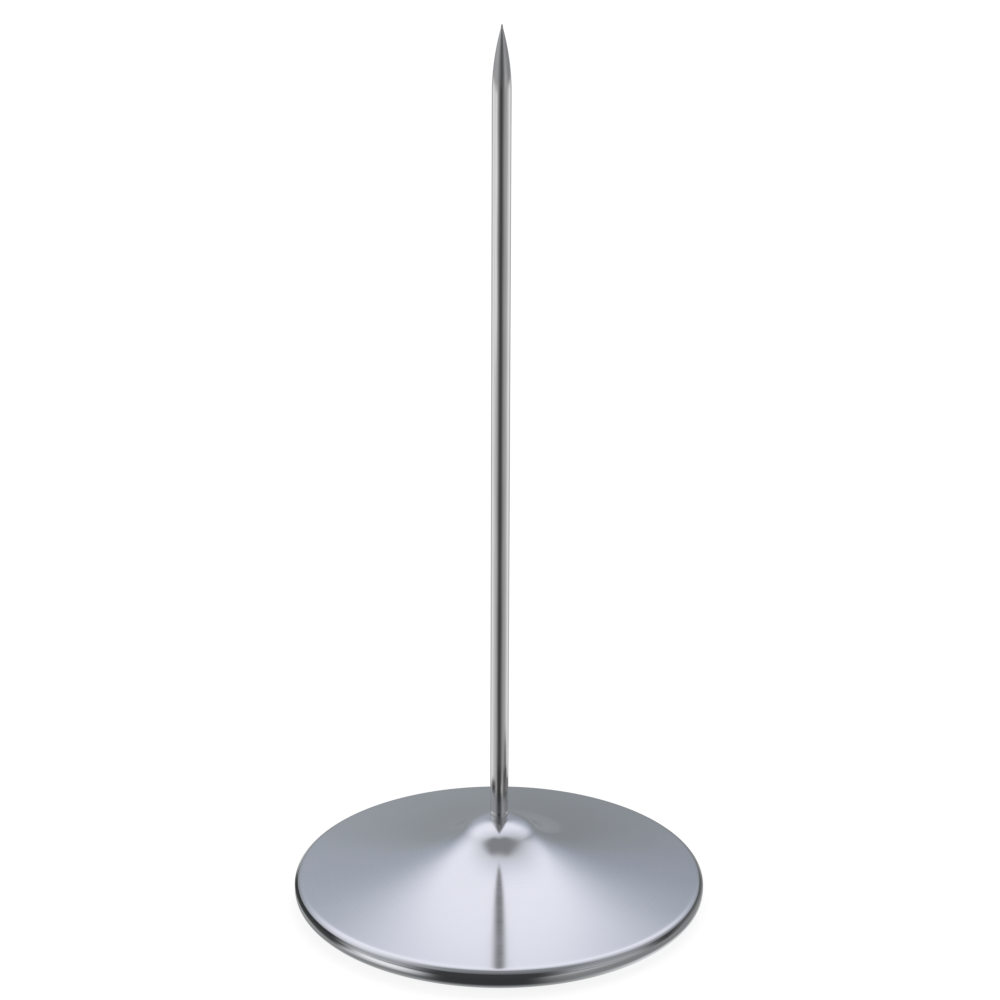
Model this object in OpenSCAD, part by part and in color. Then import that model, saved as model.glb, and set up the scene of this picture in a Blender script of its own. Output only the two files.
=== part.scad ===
// Receipt spike for a till counter. A ground steel spike stands on a bell-shaped cover
// of pressed sheet. A nut under an iron weight pulls the spike's shoulder down on the
// cover's crown, and the cover's rim is rolled in under a bottom plate with a rubber pad.
// Millimetres, +Z up. The origin is the centre of the pad's underside, on the counter.

/* [Base cover] */
// Outer diameter over the rolled rim
base_d = 80; // [76:1:90]
// Height of the rolled rim, from its underside to where the top bends down
rim_h = 4.2; // [4:0.1:6]
// Width of the bend between the cover's top and the rim's wall
rim_bend = 1.4; // [1.2:0.1:1.6]
// Radius of the bend that turns the wall in under the bottom plate
curl_r = 2; // [1.6:0.1:2]
// Width of the flat lip that holds the bottom plate
lip_w = 1.8; // [1:0.1:3]
// Thickness of the cover's sheet
sheet_t = 0.8; // [0.5:0.1:1]
// Radius of the rounded crown around the spike's seat
crown_r = 7.5; // [6:0.5:9]
// Steepest slope of the bell in degrees, where the crown turns into the flare
steepest = 46; // [36:1:50]
// Radius that the flare would climb towards if it went on above the crown
flare_pole = 3.1; // [1:0.1:4]

/* [Spike] */
// Diameter of the spike
spike_d = 3.5; // [3.4:0.1:4]
// Height of the spike's point above the cover
spike_h = 152; // [120:1:180]
// Length of the ground point
point_l = 12; // [8:0.5:20]
// Radius of the blunted tip
tip_r = 0.2; // [0.1:0.05:0.3]

/* [Weight] */
// Radius of the weight's edge, measured on the cover above it
weight_r = 33; // [26:0.5:34]
// Gap between the weight and the flare of the cover
weight_gap = 0.4; // [0.2:0.1:0.8]
// Diameter of the pocket that the nut sits in
pocket_d = 9.2; // [8.4:0.2:11]
// Depth of the pocket
pocket_h = 6; // [5.6:0.1:7]

/* [Underside] */
// Thickness of the bottom plate
plate_t = 1; // [0.8:0.1:1.5]
// Thickness of the rubber pad
pad_t = 1.2; // [1.1:0.1:2]
// Gap between the pad's edge and the rolled lip
pad_gap = 0.7; // [0.3:0.1:2]

/* [Hidden] */

$fn = 96;
CUT_PAST = 1; // how far a cut runs past the faces that it opens
CROWN_STEPS = 12;
FLARE_STEPS = 26;
BEND_STEPS = 10;
POINT_STEPS = 14;
TIP_STEPS = 5;

base_r = base_d / 2;
spike_r = spike_d / 2;

// Fastening on the spike's M3 stud
stud_r = 1.5;
stud_chamfer = 0.4;
cover_hole_r = 1.55;
clear_r = 1.6;
stud_past_nut = 1.1;
washer_r = 3.5;
washer_t = 0.5;
lock_r = 3;
lock_t = 0.8;
lock_slit = 0.45;
lock_slit_tilt = 25;
nut_across_flats = 5.5;
nut_h = 2.4;
nut_face_r = 2.6;
nut_chamfer_angle = 30;
nut_mouth = 0.3;

// Softened edges of the weight, the plate and the pad
weight_chamfer = 0.6;
pocket_chamfer = 0.5;
plate_edge = 0.2;
plate_side_gap = 0.1;
pad_edge = 0.4;

// Heights, from the counter up
rim_foot_z = pad_t - sheet_t;
plate_z = pad_t;
weight_z = plate_z + plate_t;
washer_z = weight_z + pocket_h - washer_t;
lock_z = washer_z - lock_t;
nut_z = lock_z - nut_h;
rim_top_z = rim_foot_z + rim_h;

// The flare's slope falls as one over the distance from flare_pole, so its height is a
// logarithm, and equal drops in height are equal ratios of that distance
crown_end_r = spike_r + crown_r * sin(steepest);
shoulder_r = base_r - rim_bend;
flare_rate = tan(steepest) * (crown_end_r - flare_pole);
function flare_drop(r) = flare_rate * ln((r - flare_pole) / (crown_end_r - flare_pole));
function flare_slope(r) = atan(flare_rate / (r - flare_pole));
flare_top_z = rim_top_z + flare_drop(shoulder_r);
crown_z = flare_top_z + crown_r * (1 - cos(steepest));
spike_tip_z = crown_z + spike_h;

// The rim's upper bend leaves the flare on its tangent and ends on the wall
shoulder_slope = flare_slope(shoulder_r);
bend_r = rim_bend / (1 - sin(shoulder_slope));
bend_z = rim_top_z - bend_r * cos(shoulder_slope);
curl_z = rim_foot_z + curl_r;
lip_r = base_r - curl_r - lip_w;

// Arc around a centre, from one angle to another
function arc(centre, radius, from, to, steps) =
    [for (i = [0 : steps])
        let (angle = from + (to - from) * i / steps)
        centre + radius * [cos(angle), sin(angle)]];

// Crown of the bell at a depth below its outer face, from the seat outwards
function crown_line(depth) =
    arc([spike_r, crown_z - crown_r], crown_r - depth, 90, 90 - steepest, CROWN_STEPS);

// Flare of the bell at a depth below its outer face, out to a radius on that face
function flare_line(depth, end_r, steps) =
    [for (i = [0 : steps])
        let (spread = pow((end_r - flare_pole) / (crown_end_r - flare_pole), i / steps),
             r = flare_pole + (crown_end_r - flare_pole) * spread,
             slope = flare_slope(r))
        [r - depth * sin(slope), flare_top_z - flare_drop(r) - depth * cos(slope)]];

// Rolled rim at a depth below its outer face, from the flare round to the flat lip
function rim_line(depth) =
    concat(arc([base_r - bend_r, bend_z], bend_r - depth, 90 - shoulder_slope, 0, BEND_STEPS),
           arc([base_r - curl_r, curl_z], curl_r - depth, 0, -90, BEND_STEPS));

// Every point but the first, which a line shares with the one before it
function rest_of(line) = [for (i = [1 : len(line) - 1]) line[i]];

// Whole section of the cover's face at a depth, from the crown's hole to the lip's edge
function cover_line(depth) =
    concat([[cover_hole_r, crown_z - depth]],
           crown_line(depth),
           rest_of(flare_line(depth, shoulder_r, FLARE_STEPS)),
           rest_of(rim_line(depth)),
           [[lip_r, rim_foot_z + depth]]);

function reversed(line) = [for (i = [len(line) - 1 : -1 : 0]) line[i]];

// Pressed cover: a sheet of one thickness between two lines
module base_cover() {
    color([0.80, 0.81, 0.84])
    rotate_extrude()
    polygon(concat(cover_line(0), reversed(cover_line(sheet_t))));
}

// Ground point: an arc that runs into the shaft without an edge, down from the blunt tip
function point_radius(down) = spike_r * (1 - pow(1 - down / point_l, 2));
tip_down = point_l * (1 - sqrt(1 - tip_r / spike_r));
function point_line() =
    [for (i = [0 : POINT_STEPS])
        let (down = tip_down + (point_l - tip_down) * i / POINT_STEPS)
        [point_radius(down), spike_tip_z - down]];
function tip_line() =
    [for (i = [0 : TIP_STEPS - 1])
        let (angle = 90 * (1 - i / TIP_STEPS))
        [tip_r * cos(angle), spike_tip_z - tip_down + tip_down * sin(angle)]];

// Spike with its point, its shoulder on the crown and its stud through the weight
module spike() {
    stud_end_z = nut_z - stud_past_nut;
    color([0.72, 0.72, 0.74])
    rotate_extrude()
    polygon(concat(
        tip_line(),
        point_line(),
        [[spike_r, crown_z],
         [stud_r, crown_z],
         [stud_r, stud_end_z + stud_chamfer],
         [stud_r - stud_chamfer, stud_end_z],
         [0, stud_end_z]]));
}

// Iron weight, seated in the crown and just clear of the flare
module base_weight() {
    top = flare_line(sheet_t + weight_gap, weight_r, FLARE_STEPS);
    edge_r = top[FLARE_STEPS][0];
    pocket_r = pocket_d / 2;
    pocket_top_z = weight_z + pocket_h;
    color([0.22, 0.22, 0.24])
    rotate_extrude()
    polygon(concat(
        [[clear_r, pocket_top_z],
         [clear_r, crown_z - sheet_t]],
        crown_line(sheet_t),
        top,
        [[edge_r, weight_z + weight_chamfer],
         [edge_r - weight_chamfer, weight_z],
         [pocket_r + pocket_chamfer, weight_z],
         [pocket_r, weight_z + pocket_chamfer],
         [pocket_r, pocket_top_z]]));
}

// Ring of rectangular section on the axis
module ring(inner_r, outer_r, height) {
    difference() {
        cylinder(r = outer_r, h = height);
        translate([0, 0, -CUT_PAST])
        cylinder(r = inner_r, h = height + 2 * CUT_PAST);
    }
}

module flat_washer() {
    color([0.75, 0.75, 0.72])
    translate([0, 0, washer_z])
    ring(clear_r, washer_r, washer_t);
}

// Split spring washer, pressed flat, with its slanted slit
module lock_washer() {
    color([0.45, 0.45, 0.47])
    translate([0, 0, lock_z])
    difference() {
        ring(clear_r, lock_r, lock_t);
        translate([0, 0, lock_t / 2])
        rotate([lock_slit_tilt, 0, 0])
        translate([0, -lock_slit / 2, -lock_r])
        cube([lock_r + CUT_PAST, lock_slit, 2 * lock_r]);
    }
}

// Hexagon nut: a cone chamfers the corners of both faces, and the bore's mouths are
// countersunk
module hex_nut() {
    corner_r = nut_across_flats / 2 / cos(180 / 6);
    cone_r = corner_r + CUT_PAST;
    cone_rise = (cone_r - nut_face_r) * tan(nut_chamfer_angle);
    mouth_r = stud_r + nut_mouth;
    color([0.75, 0.75, 0.72])
    translate([0, 0, nut_z])
    difference() {
        intersection() {
            cylinder(r = corner_r, h = nut_h, $fn = 6);
            rotate_extrude()
            polygon([[0, 0], [nut_face_r, 0], [cone_r, cone_rise],
                     [cone_r, nut_h - cone_rise], [nut_face_r, nut_h], [0, nut_h]]);
        }
        rotate_extrude()
        polygon([[0, -CUT_PAST], [mouth_r, -CUT_PAST], [mouth_r, 0],
                 [stud_r, nut_mouth], [stud_r, nut_h - nut_mouth],
                 [mouth_r, nut_h], [mouth_r, nut_h + CUT_PAST], [0, nut_h + CUT_PAST]]);
    }
}

// Disc with both its edges bevelled
module bevelled_disc(radius, height, bevel) {
    rotate_extrude()
    polygon([[0, 0], [radius - bevel, 0], [radius, bevel], [radius, height - bevel],
             [radius - bevel, height], [0, height]]);
}

// Bottom plate, its edge held between the rolled lip and the weight
module bottom_plate() {
    color([0.60, 0.61, 0.63])
    translate([0, 0, plate_z])
    bevelled_disc(base_r - curl_r - plate_side_gap, plate_t, plate_edge);
}

// Rubber pad inside the lip, a little deeper than the lip, so the base stands on it
module anti_slip_pad() {
    color([0.10, 0.10, 0.11])
    bevelled_disc(lip_r - pad_gap, pad_t, pad_edge);
}

spike();
base_cover();
base_weight();
flat_washer();
lock_washer();
hex_nut();
bottom_plate();
anti_slip_pad();
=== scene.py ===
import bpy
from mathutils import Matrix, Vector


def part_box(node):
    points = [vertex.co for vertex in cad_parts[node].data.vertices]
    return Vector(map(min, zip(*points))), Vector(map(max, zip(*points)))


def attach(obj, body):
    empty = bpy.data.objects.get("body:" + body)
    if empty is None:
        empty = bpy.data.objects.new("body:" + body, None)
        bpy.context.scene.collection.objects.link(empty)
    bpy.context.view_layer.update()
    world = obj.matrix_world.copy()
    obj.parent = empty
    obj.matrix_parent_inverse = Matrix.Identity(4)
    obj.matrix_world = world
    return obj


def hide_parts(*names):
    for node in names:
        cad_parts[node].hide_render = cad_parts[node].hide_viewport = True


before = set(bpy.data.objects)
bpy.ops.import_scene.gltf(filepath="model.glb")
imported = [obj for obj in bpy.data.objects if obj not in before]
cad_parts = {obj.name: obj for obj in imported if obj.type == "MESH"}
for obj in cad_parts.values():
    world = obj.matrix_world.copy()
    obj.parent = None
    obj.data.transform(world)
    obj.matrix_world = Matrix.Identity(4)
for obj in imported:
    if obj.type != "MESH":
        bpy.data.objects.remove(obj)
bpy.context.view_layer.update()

import math

import bpy
import numpy as np
from bpy.props import FloatProperty, FloatVectorProperty, IntProperty, PointerProperty
from bpy.types import Operator, Panel, PropertyGroup
from mathutils import Matrix

bl_info = {
    "name": "Receipt Spike",
    "version": (1, 0, 0),
    "blender": (4, 5, 0),
    "location": "View3D > Sidebar > Receipt Spike",
    "description": "Builds a polished steel receipt spike and the studio stage that it stands on",
    "category": "Add Mesh",
}

MM = 0.001
BODY = "root"
CREASE = 35   # degrees of turn past which an edge is shaded sharp
SPIKE_LOW, SPIKE_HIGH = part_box("spike")
COVER_LOW, COVER_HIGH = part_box("base_cover")
WEIGHT_LOW, WEIGHT_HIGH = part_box("base_weight")
WASHER_LOW, WASHER_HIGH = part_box("flat_washer")
LOCK_LOW, LOCK_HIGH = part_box("lock_washer")
NUT_LOW, NUT_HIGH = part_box("hex_nut")
PLATE_LOW, PLATE_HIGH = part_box("bottom_plate")
PAD_LOW, PAD_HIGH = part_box("anti_slip_pad")


# Sizes and colours that a user would change

def length(name, description, default_mm):
    """A length property, its default given in millimetres."""
    return FloatProperty(name=name, description=description, default=default_mm * MM, min=0,
                         unit="LENGTH", subtype="DISTANCE", precision=5)


def colour(name, description, default):
    """A colour property."""
    return FloatVectorProperty(name=name, description=description, default=default, size=3,
                               min=0, max=1.2, subtype="COLOR")


def share(name, description, default, top=1.0):
    """A property for a plain number from nothing to top."""
    return FloatProperty(name=name, description=description, default=default, min=0, max=top,
                         subtype="FACTOR")


def turn(name, description, default_degrees):
    """An angle property, its default given in degrees."""
    return FloatProperty(name=name, description=description, subtype="ANGLE",
                         default=math.radians(default_degrees))


class ShaftSizes(PropertyGroup):
    """Sizes of the ground spike and of the stud below it."""
    shaft_d: length("Shaft diameter", "Diameter of the ground rod", 3.5)
    point_l: length("Point length", "Length of the ground point", 12)
    tip_r: length("Tip radius", "Radius at which the point is blunted", 0.2)
    foot_edge: length("Foot edge", "Rounding of the shoulder's edge on the crown", 0.04)
    stud_d: length("Stud diameter", "Outer diameter of the thread", 3)
    pitch: length("Thread pitch", "Distance from one thread to the next", 0.5)
    thread_l: length("Thread length", "Length of the thread, from the stud's end", 7)
    stud_chamfer: length("Stud chamfer", "Chamfer of the stud's end", 0.4)
    columns: IntProperty(name="Columns", description="Columns of faces round the rod",
                         default=96, min=24, max=256)


class CoverSizes(PropertyGroup):
    """Sizes of the pressed and polished cover."""
    base_d: length("Base diameter", "Outer diameter over the rolled rim", 80)
    rim_h: length("Rim height", "From the lip's underside to where the top bends down", 4.2)
    rim_bend: length("Rim bend", "Width of the bend between the top and the rim's wall", 1.4)
    curl_r: length("Curl radius", "Radius of the bend that turns the wall in", 2)
    lip_w: length("Lip width", "Width of the flat lip under the plate's edge", 1.8)
    sheet_t: length("Sheet thickness", "Thickness of the pressed sheet", 0.8)
    crown_r: length("Crown radius", "Radius of the rounded crown at the spike's foot", 7.5)
    steepest: turn("Steepest slope", "Slope where the crown turns into the flare", 46)
    flare_pole: length("Flare pole", "Radius that the flare would climb towards", 3.1)
    hole_d: length("Hole diameter", "Hole in the crown for the stud", 3.1)
    edge_r: length("Deburred edge", "Rounding of the sheet's cut edges", 0.12)
    columns: IntProperty(name="Columns", description="Columns of faces round the cover",
                         default=288, min=48, max=360)


class InsideSizes(PropertyGroup):
    """Sizes of the weight, the fastening, the bottom plate and the pad."""
    weight_gap: length("Weight gap", "Gap between the weight and the cover's flare", 0.4)
    weight_edge: length("Weight edge", "Rounding of the weight's edges", 0.6)
    cast_relief: length("Casting relief", "Depth of the casting's uneven skin", 0.1)
    pocket_d: length("Pocket diameter", "Pocket in the weight for the nut", 9.2)
    pocket_h: length("Pocket depth", "Depth of that pocket", 6)
    clear_d: length("Clearance hole", "Hole in the weight and in the washers", 3.2)
    lock_slit: length("Washer slit", "Width of the lock washer's slit", 0.45)
    slit_tilt: turn("Slit tilt", "Slant of the lock washer's slit", 25)
    nut_flats: length("Nut across flats", "Width of the nut over its flats", 5.5)
    nut_face_d: length("Nut face", "Diameter of the flat face inside the nut's chamfer", 5.2)
    nut_mouth: length("Nut mouth", "Depth of the countersink at the nut's thread", 0.3)
    thread_gap: length("Thread gap", "Gap between the nut's thread and the stud's", 0.02)
    plate_edge: length("Plate edge", "Rounding of the bottom plate's edge", 0.2)
    pad_edge: length("Pad edge", "Rounding of the pad's edge", 0.4)


class PieceFinish(PropertyGroup):
    """Colours and polish of the metal and the rubber."""
    cover_colour: colour("Cover", "Reflected colour of the polished sheet", (0.76, 0.78, 0.81))
    cover_rough: share("Cover roughness", "Softness of the cover's mirror", 0.11)
    shaft_colour: colour("Shaft", "Reflected colour of the ground rod", (0.74, 0.73, 0.73))
    shaft_rough: share("Shaft roughness", "Softness of the rod's mirror", 0.1)
    shaft_waves: share("Shaft waves", "Slight waves in the rod's ground surface", 0.3)
    iron_colour: colour("Iron", "Colour of the cast weight", (0.2, 0.2, 0.21))
    zinc_colour: colour("Zinc", "Colour of the plated nut and washer", (0.7, 0.71, 0.7))
    spring_colour: colour("Spring steel", "Colour of the lock washer", (0.42, 0.42, 0.44))
    plate_colour: colour("Plate", "Colour of the bottom plate", (0.58, 0.59, 0.6))
    rubber_colour: colour("Rubber", "Colour of the anti-slip pad", (0.045, 0.045, 0.048))


class StageLook(PropertyGroup):
    """Camera, floor and light."""
    camera_back: length("Camera distance", "From the spike to the camera, along the floor", 401.7)
    camera_up: length("Camera height", "Height of the camera over the floor", 207.6)
    camera_pitch: turn("Camera pitch", "How far the camera looks down", 17.525)
    camera_roll: turn("Camera roll", "How far the camera leans to its left", 0.2)
    lens_mm: FloatProperty(name="Lens", description="Focal length on a 36 mm sensor",
                           default=81.4, unit="CAMERA")
    shift: FloatProperty(name="Shift", default=-0.0003,
                         description="Sideways shift of the picture, in picture widths")
    floor_colour: colour("Floor", "Colour of the paper on the floor", (0.22, 0.22, 0.22))
    floor_lift: share("Floor lift", "Light that the paper adds to what the lamps give it", 0.84)
    ambient: share("Ambient", "Level of the light from all round", 0.4, 4)
    key: share("Key light", "Strength of the soft light from above and behind", 1.4, 10)
    fill: share("Fill light", "Strength of the soft light from the left", 0.6, 10)
    # Tints of the reflections that the glowing tent and mat paint in the metal, and the turn of
    # their painted dark zone
    low_reflection_tint: colour("Low cloth", "Tint of the tent low down behind", (0.93, 0.98, 1.03))
    front_reflection_tint: colour("Front cloth", "Tint of the tent where it is dark in front",
                        (0.95, 0.98, 1.0))
    dark_reflection_tint: colour("Dark cloth", "Tint of the tent where it is dark behind",
                       (0.87, 0.96, 1.16))
    pale_reflection_tint: colour("Pale cloth", "Tint of the tent where it is pale", (1.0, 0.99, 1.06))
    dark_zone_turn: turn("Room turn", "Turn of the dark room from the camera to the right", 15)
    tent_r: length("Tent radius", "Radius of the light tent that the metal mirrors", 4000)


GROUPS = {"spike_shaft": ShaftSizes, "spike_cover": CoverSizes, "spike_inside": InsideSizes,
          "spike_finish": PieceFinish, "spike_stage": StageLook}


# Lines of points, as (radius, height)

def arc(centre, radius, start, end, rows):
    """Points on a circle round a centre, from one angle to another, in degrees."""
    angle = np.radians(np.linspace(start, end, rows + 1))
    return np.column_stack([centre[0] + radius * np.cos(angle),
                            centre[1] + radius * np.sin(angle)])


def straight(start, end, rows):
    """Points on a straight line, both its ends included."""
    return np.linspace(start, end, rows + 1)


def joined(*lines):
    """One line of points from several, where each starts at the last one's end."""
    points = [lines[0]] + [line[1:] for line in lines[1:]]
    return np.concatenate(points)


def rounded(corners, radii, rows=4):
    """A closed line through corners, each rounded by its own radius.

    The arc starts and ends at radius / tan(half the corner's angle) from the corner, and its
    points are weighted by (1 - t) squared, 2 t (1 - t) and t squared.
    """
    corners = np.array(corners, float)
    before, after = np.roll(corners, 1, 0) - corners, np.roll(corners, -1, 0) - corners
    before /= np.linalg.norm(before, axis=1, keepdims=True)
    after /= np.linalg.norm(after, axis=1, keepdims=True)
    half = np.arccos(np.clip((before * after).sum(1), -1, 1)) / 2
    back = (np.array(radii) / np.tan(half))[:, None]
    start, end = corners + before * back, corners + after * back
    t = np.linspace(0, 1, rows + 1)[None, :, None]
    line = ((1 - t) ** 2 * start[:, None] + 2 * t * (1 - t) * corners[:, None]
            + t ** 2 * end[:, None])
    return line.reshape(-1, 2)


# Meshes

def column_angles(columns):
    """The angle of each column of faces, all at equal steps round the axis."""
    return 2 * np.pi * np.arange(columns) / columns


def turned_mesh(name, radius, height, loop=False):
    """A closed surface of rings: row i, column j lies at radius[i, j] from the axis, at the
    angle 2 pi j / columns and at height[i, j].

    Rows run down the outside, so that faces point outwards. With loop the last row joins the
    first. Otherwise the first and the last row have radius nothing, and each is one point.
    """
    radius, height = np.broadcast_arrays(radius, height)
    rows, columns = radius.shape
    angle = column_angles(columns)
    points = np.stack([radius * np.cos(angle), radius * np.sin(angle), height], -1)
    ring = np.arange(rows * columns).reshape(rows, columns)
    if loop:
        above, below = ring, np.roll(ring, -1, 0)
    else:
        points = points[1:-1]
        rings = ring[:rows - 2]
        above, below = rings[:-1], rings[1:]
    quads = np.stack([above, below, np.roll(below, -1, 1), np.roll(above, -1, 1)], -1)
    vertices = points.reshape(-1, 3)
    faces = quads.reshape(-1, 4).tolist()
    if not loop:
        top, bottom = len(vertices), len(vertices) + 1
        poles = np.array([[0, 0, height[0, 0]], [0, 0, height[-1, 0]]])
        vertices = np.concatenate([vertices, poles])
        first, last = rings[0], rings[-1]
        faces += [[top, a, b] for a, b in zip(first.tolist(), np.roll(first, -1).tolist())]
        faces += [[bottom, b, a] for a, b in zip(last.tolist(), np.roll(last, -1).tolist())]
    return mesh_of(name, vertices, faces)


def revolved(name, section, columns, loop=False):
    """One section of (radius, height), turned round the axis."""
    return turned_mesh(name, np.repeat(section[:, :1], columns, 1), section[:, 1:], loop)


def mesh_of(name, vertices, faces):
    """A mesh of vertices and faces, smooth but where it turns by more than CREASE degrees."""
    mesh = bpy.data.meshes.new(name)
    mesh.from_pydata(vertices.tolist(), [], faces)
    mesh.update()
    mesh.shade_smooth()
    mesh.set_sharp_from_angle(angle=math.radians(CREASE))
    mesh.validate()
    return mesh


def add_piece(name, mesh, material, slot, *nodes):
    """Puts a finished mesh in the scene as the piece that stands for one or more nodes."""
    piece = bpy.data.objects.new(name, mesh)
    bpy.context.scene.collection.objects.link(piece)
    mesh.materials.append(material)
    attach(piece, BODY)
    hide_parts(*nodes)


class Bell:
    """Section of the pressed cover, as (radius, height) in metres, from its outer line inwards.

    The crown is an arc from level to the steepest slope. On the flare the slope's tangent is
    flare_rate / (radius - flare_pole), so the height falls with the logarithm of that distance.
    One arc bends the rim down to a vertical wall, another turns it in to a flat lip. Every line
    at a depth is the outer line moved inwards along its normal.
    """

    def __init__(self, cover, shaft):
        self.cover = cover
        self.seat_r = shaft.shaft_d / 2
        self.base_r = cover.base_d / 2
        self.foot_z = COVER_LOW.z
        self.crown_z = COVER_HIGH.z
        self.crown_end_r = self.seat_r + cover.crown_r * math.sin(cover.steepest)
        self.shoulder_r = self.base_r - cover.rim_bend
        self.flare_rate = math.tan(cover.steepest) * (self.crown_end_r - cover.flare_pole)
        self.flare_top_z = self.crown_z - cover.crown_r * (1 - math.cos(cover.steepest))
        shoulder_slope = math.atan(self.flare_rate / (self.shoulder_r - cover.flare_pole))
        self.shoulder_angle = 90 - math.degrees(shoulder_slope)
        self.bend_r = cover.rim_bend / (1 - math.sin(shoulder_slope))
        self.bend_z = (self.foot_z + cover.rim_h) - self.bend_r * math.cos(shoulder_slope)
        self.lip_r = self.base_r - cover.curl_r - cover.lip_w

    def crown(self, depth, rows):
        """The crown's arc, from the spike outwards."""
        centre = (self.seat_r, self.crown_z - self.cover.crown_r)
        return arc(centre, self.cover.crown_r - depth, 90,
                   90 - math.degrees(self.cover.steepest), rows)

    def flare(self, depth, end_r, rows):
        """The flare out to a radius, its points in equal ratios of their distance to the pole."""
        pole = self.cover.flare_pole
        away = np.geomspace(self.crown_end_r - pole, end_r - pole, rows + 1)
        slope = np.arctan(self.flare_rate / away)
        drop = self.flare_rate * np.log(away / away[0])
        return np.column_stack([pole + away - depth * np.sin(slope),
                                self.flare_top_z - drop - depth * np.cos(slope)])

    def rim(self, depth, rows):
        """The bend down to the wall, the wall, and the bend in to the lip."""
        curl_r = self.cover.curl_r
        return joined(
            arc((self.base_r - self.bend_r, self.bend_z), self.bend_r - depth,
                self.shoulder_angle, 0, rows),
            arc((self.base_r - curl_r, self.foot_z + curl_r), curl_r - depth, 0, -90, rows))

    def closed_section(self):
        """The sheet's whole section: the outer line out to the lip, the inner line back."""
        sheet_t, edge = self.cover.sheet_t, self.cover.edge_r
        hole_r = self.cover.hole_d / 2
        under_z, over_lip_z = self.crown_z - sheet_t, self.foot_z + sheet_t
        outer = joined(
            arc((hole_r + edge, self.crown_z - edge), edge, 180, 90, rows=4),
            self.crown(0, rows=30),
            self.flare(0, self.shoulder_r, rows=100),
            self.rim(0, rows=24),
            straight((self.base_r - self.cover.curl_r, self.foot_z),
                     (self.lip_r + edge, self.foot_z), rows=6))
        lip_edge = joined(
            arc((self.lip_r + edge, self.foot_z + edge), edge, 270, 180, rows=4),
            arc((self.lip_r + edge, over_lip_z - edge), edge, 180, 90, rows=4))
        inner = joined(
            self.crown(sheet_t, rows=12),
            self.flare(sheet_t, self.shoulder_r, rows=40),
            self.rim(sheet_t, rows=10))[::-1]
        hole_edge = arc((hole_r + edge, under_z + edge), edge, 270, 180, rows=4)
        return np.concatenate([outer, lip_edge[1:], inner, hole_edge])


def point_section(shaft, tip_z):
    """The ground point's line from the tip down to the full shaft.

    Below the tip, radius = shaft_r * (1 - (1 - down / point_l) squared), an arc that meets the
    shaft without an edge. A quarter of an ellipse closes it where the point reaches tip_r.
    """
    shaft_r = shaft.shaft_d / 2
    tip_down = shaft.point_l * (1 - math.sqrt(1 - shaft.tip_r / shaft_r))
    angle = np.radians(np.linspace(90, 0, 9))
    cap = np.column_stack([shaft.tip_r * np.cos(angle),
                           tip_z - tip_down * (1 - np.sin(angle))])
    down = np.linspace(tip_down, shaft.point_l, 49)
    flank = np.column_stack([shaft_r * (1 - (1 - down / shaft.point_l) ** 2), tip_z - down])
    return joined(cap, flank)


def thread_radius(shaft, height, angle):
    """Radius of a metric thread at each height and angle.

    The phase is height / pitch - angle / (2 pi), so one turn climbs one pitch. In a pitch the
    radius rises and falls along 60 degree flanks between a flat crest, an eighth of the pitch
    wide, and a flat root, a quarter wide. Its depth is 5/8 of the full 60 degree triangle's.
    """
    depth = shaft.pitch * math.sqrt(3) / 2 * 5 / 8
    phase = (height / shaft.pitch - angle / (2 * np.pi)) % 1.0
    from_crest = np.minimum(phase, 1 - phase)
    groove = np.clip((from_crest - 1 / 16) / (5 / 16), 0, 1)
    return shaft.stud_d / 2 - depth * groove


THREAD_ROWS = 16   # rows of faces in each turn of the thread


class SPIKE_OT_make_spike(Operator):
    """Makes the ground spike with its point, its shoulder and its threaded stud"""
    bl_idname = "receipt_spike.make_spike"
    bl_label = "Make Spike"

    def execute(self, context):
        shaft = context.scene.spike_shaft
        shaft_r, stud_r, edge = shaft.shaft_d / 2, shaft.stud_d / 2, shaft.foot_edge
        shoulder_z, end_z = COVER_HIGH.z, SPIKE_LOW.z
        thread_top_z = end_z + shaft.thread_l
        turns = round(shaft.thread_l / shaft.pitch)
        point = point_section(shaft, SPIKE_HIGH.z)
        section = joined(
            point,
            straight(point[-1], (shaft_r, shoulder_z + edge), rows=70),
            arc((shaft_r - edge, shoulder_z + edge), edge, 0, -90, rows=4),
            straight((shaft_r - edge, shoulder_z), (stud_r, shoulder_z), rows=1),
            straight((stud_r, shoulder_z), (stud_r, thread_top_z), rows=12),
            straight((stud_r, thread_top_z), (stud_r, end_z), rows=turns * THREAD_ROWS),
            straight((stud_r, end_z), (0, end_z), rows=6))
        radius, height = section[:, :1], section[:, 1:]
        # The thread fades in over its first turn, and the stud's end is chamfered
        depth = np.clip((thread_top_z - height) / shaft.pitch, 0, 1)
        thread = thread_radius(shaft, height, column_angles(shaft.columns))
        threaded = stud_r - depth * (stud_r - thread)
        chamfer = stud_r - shaft.stud_chamfer + (height - end_z)
        stud = np.minimum(np.minimum(radius, threaded), chamfer)
        radius = np.where(height < thread_top_z, np.maximum(stud, 0), radius)
        mesh = turned_mesh("spike", radius, height)
        add_piece("spike_rod", mesh, ground_steel(context), "ground_spike", "spike")
        return {"FINISHED"}


class SPIKE_OT_make_cover(Operator):
    """Makes the polished bell-shaped cover with its rolled rim"""
    bl_idname = "receipt_spike.make_cover"
    bl_label = "Make Cover"

    def execute(self, context):
        cover = context.scene.spike_cover
        section = Bell(cover, context.scene.spike_shaft).closed_section()
        mesh = revolved("cover", section, cover.columns, loop=True)
        add_piece("bell_cover", mesh, polished_steel(context), "polished_cover", "base_cover")
        return {"FINISHED"}


# Waves of the casting's skin: how many go once round the weight, and the phase that each row
# of its section adds
CAST_WAVES = ((5, 0.37), (11, -0.61), (23, 1.3))
WEIGHT_COLUMNS = 180


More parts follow.
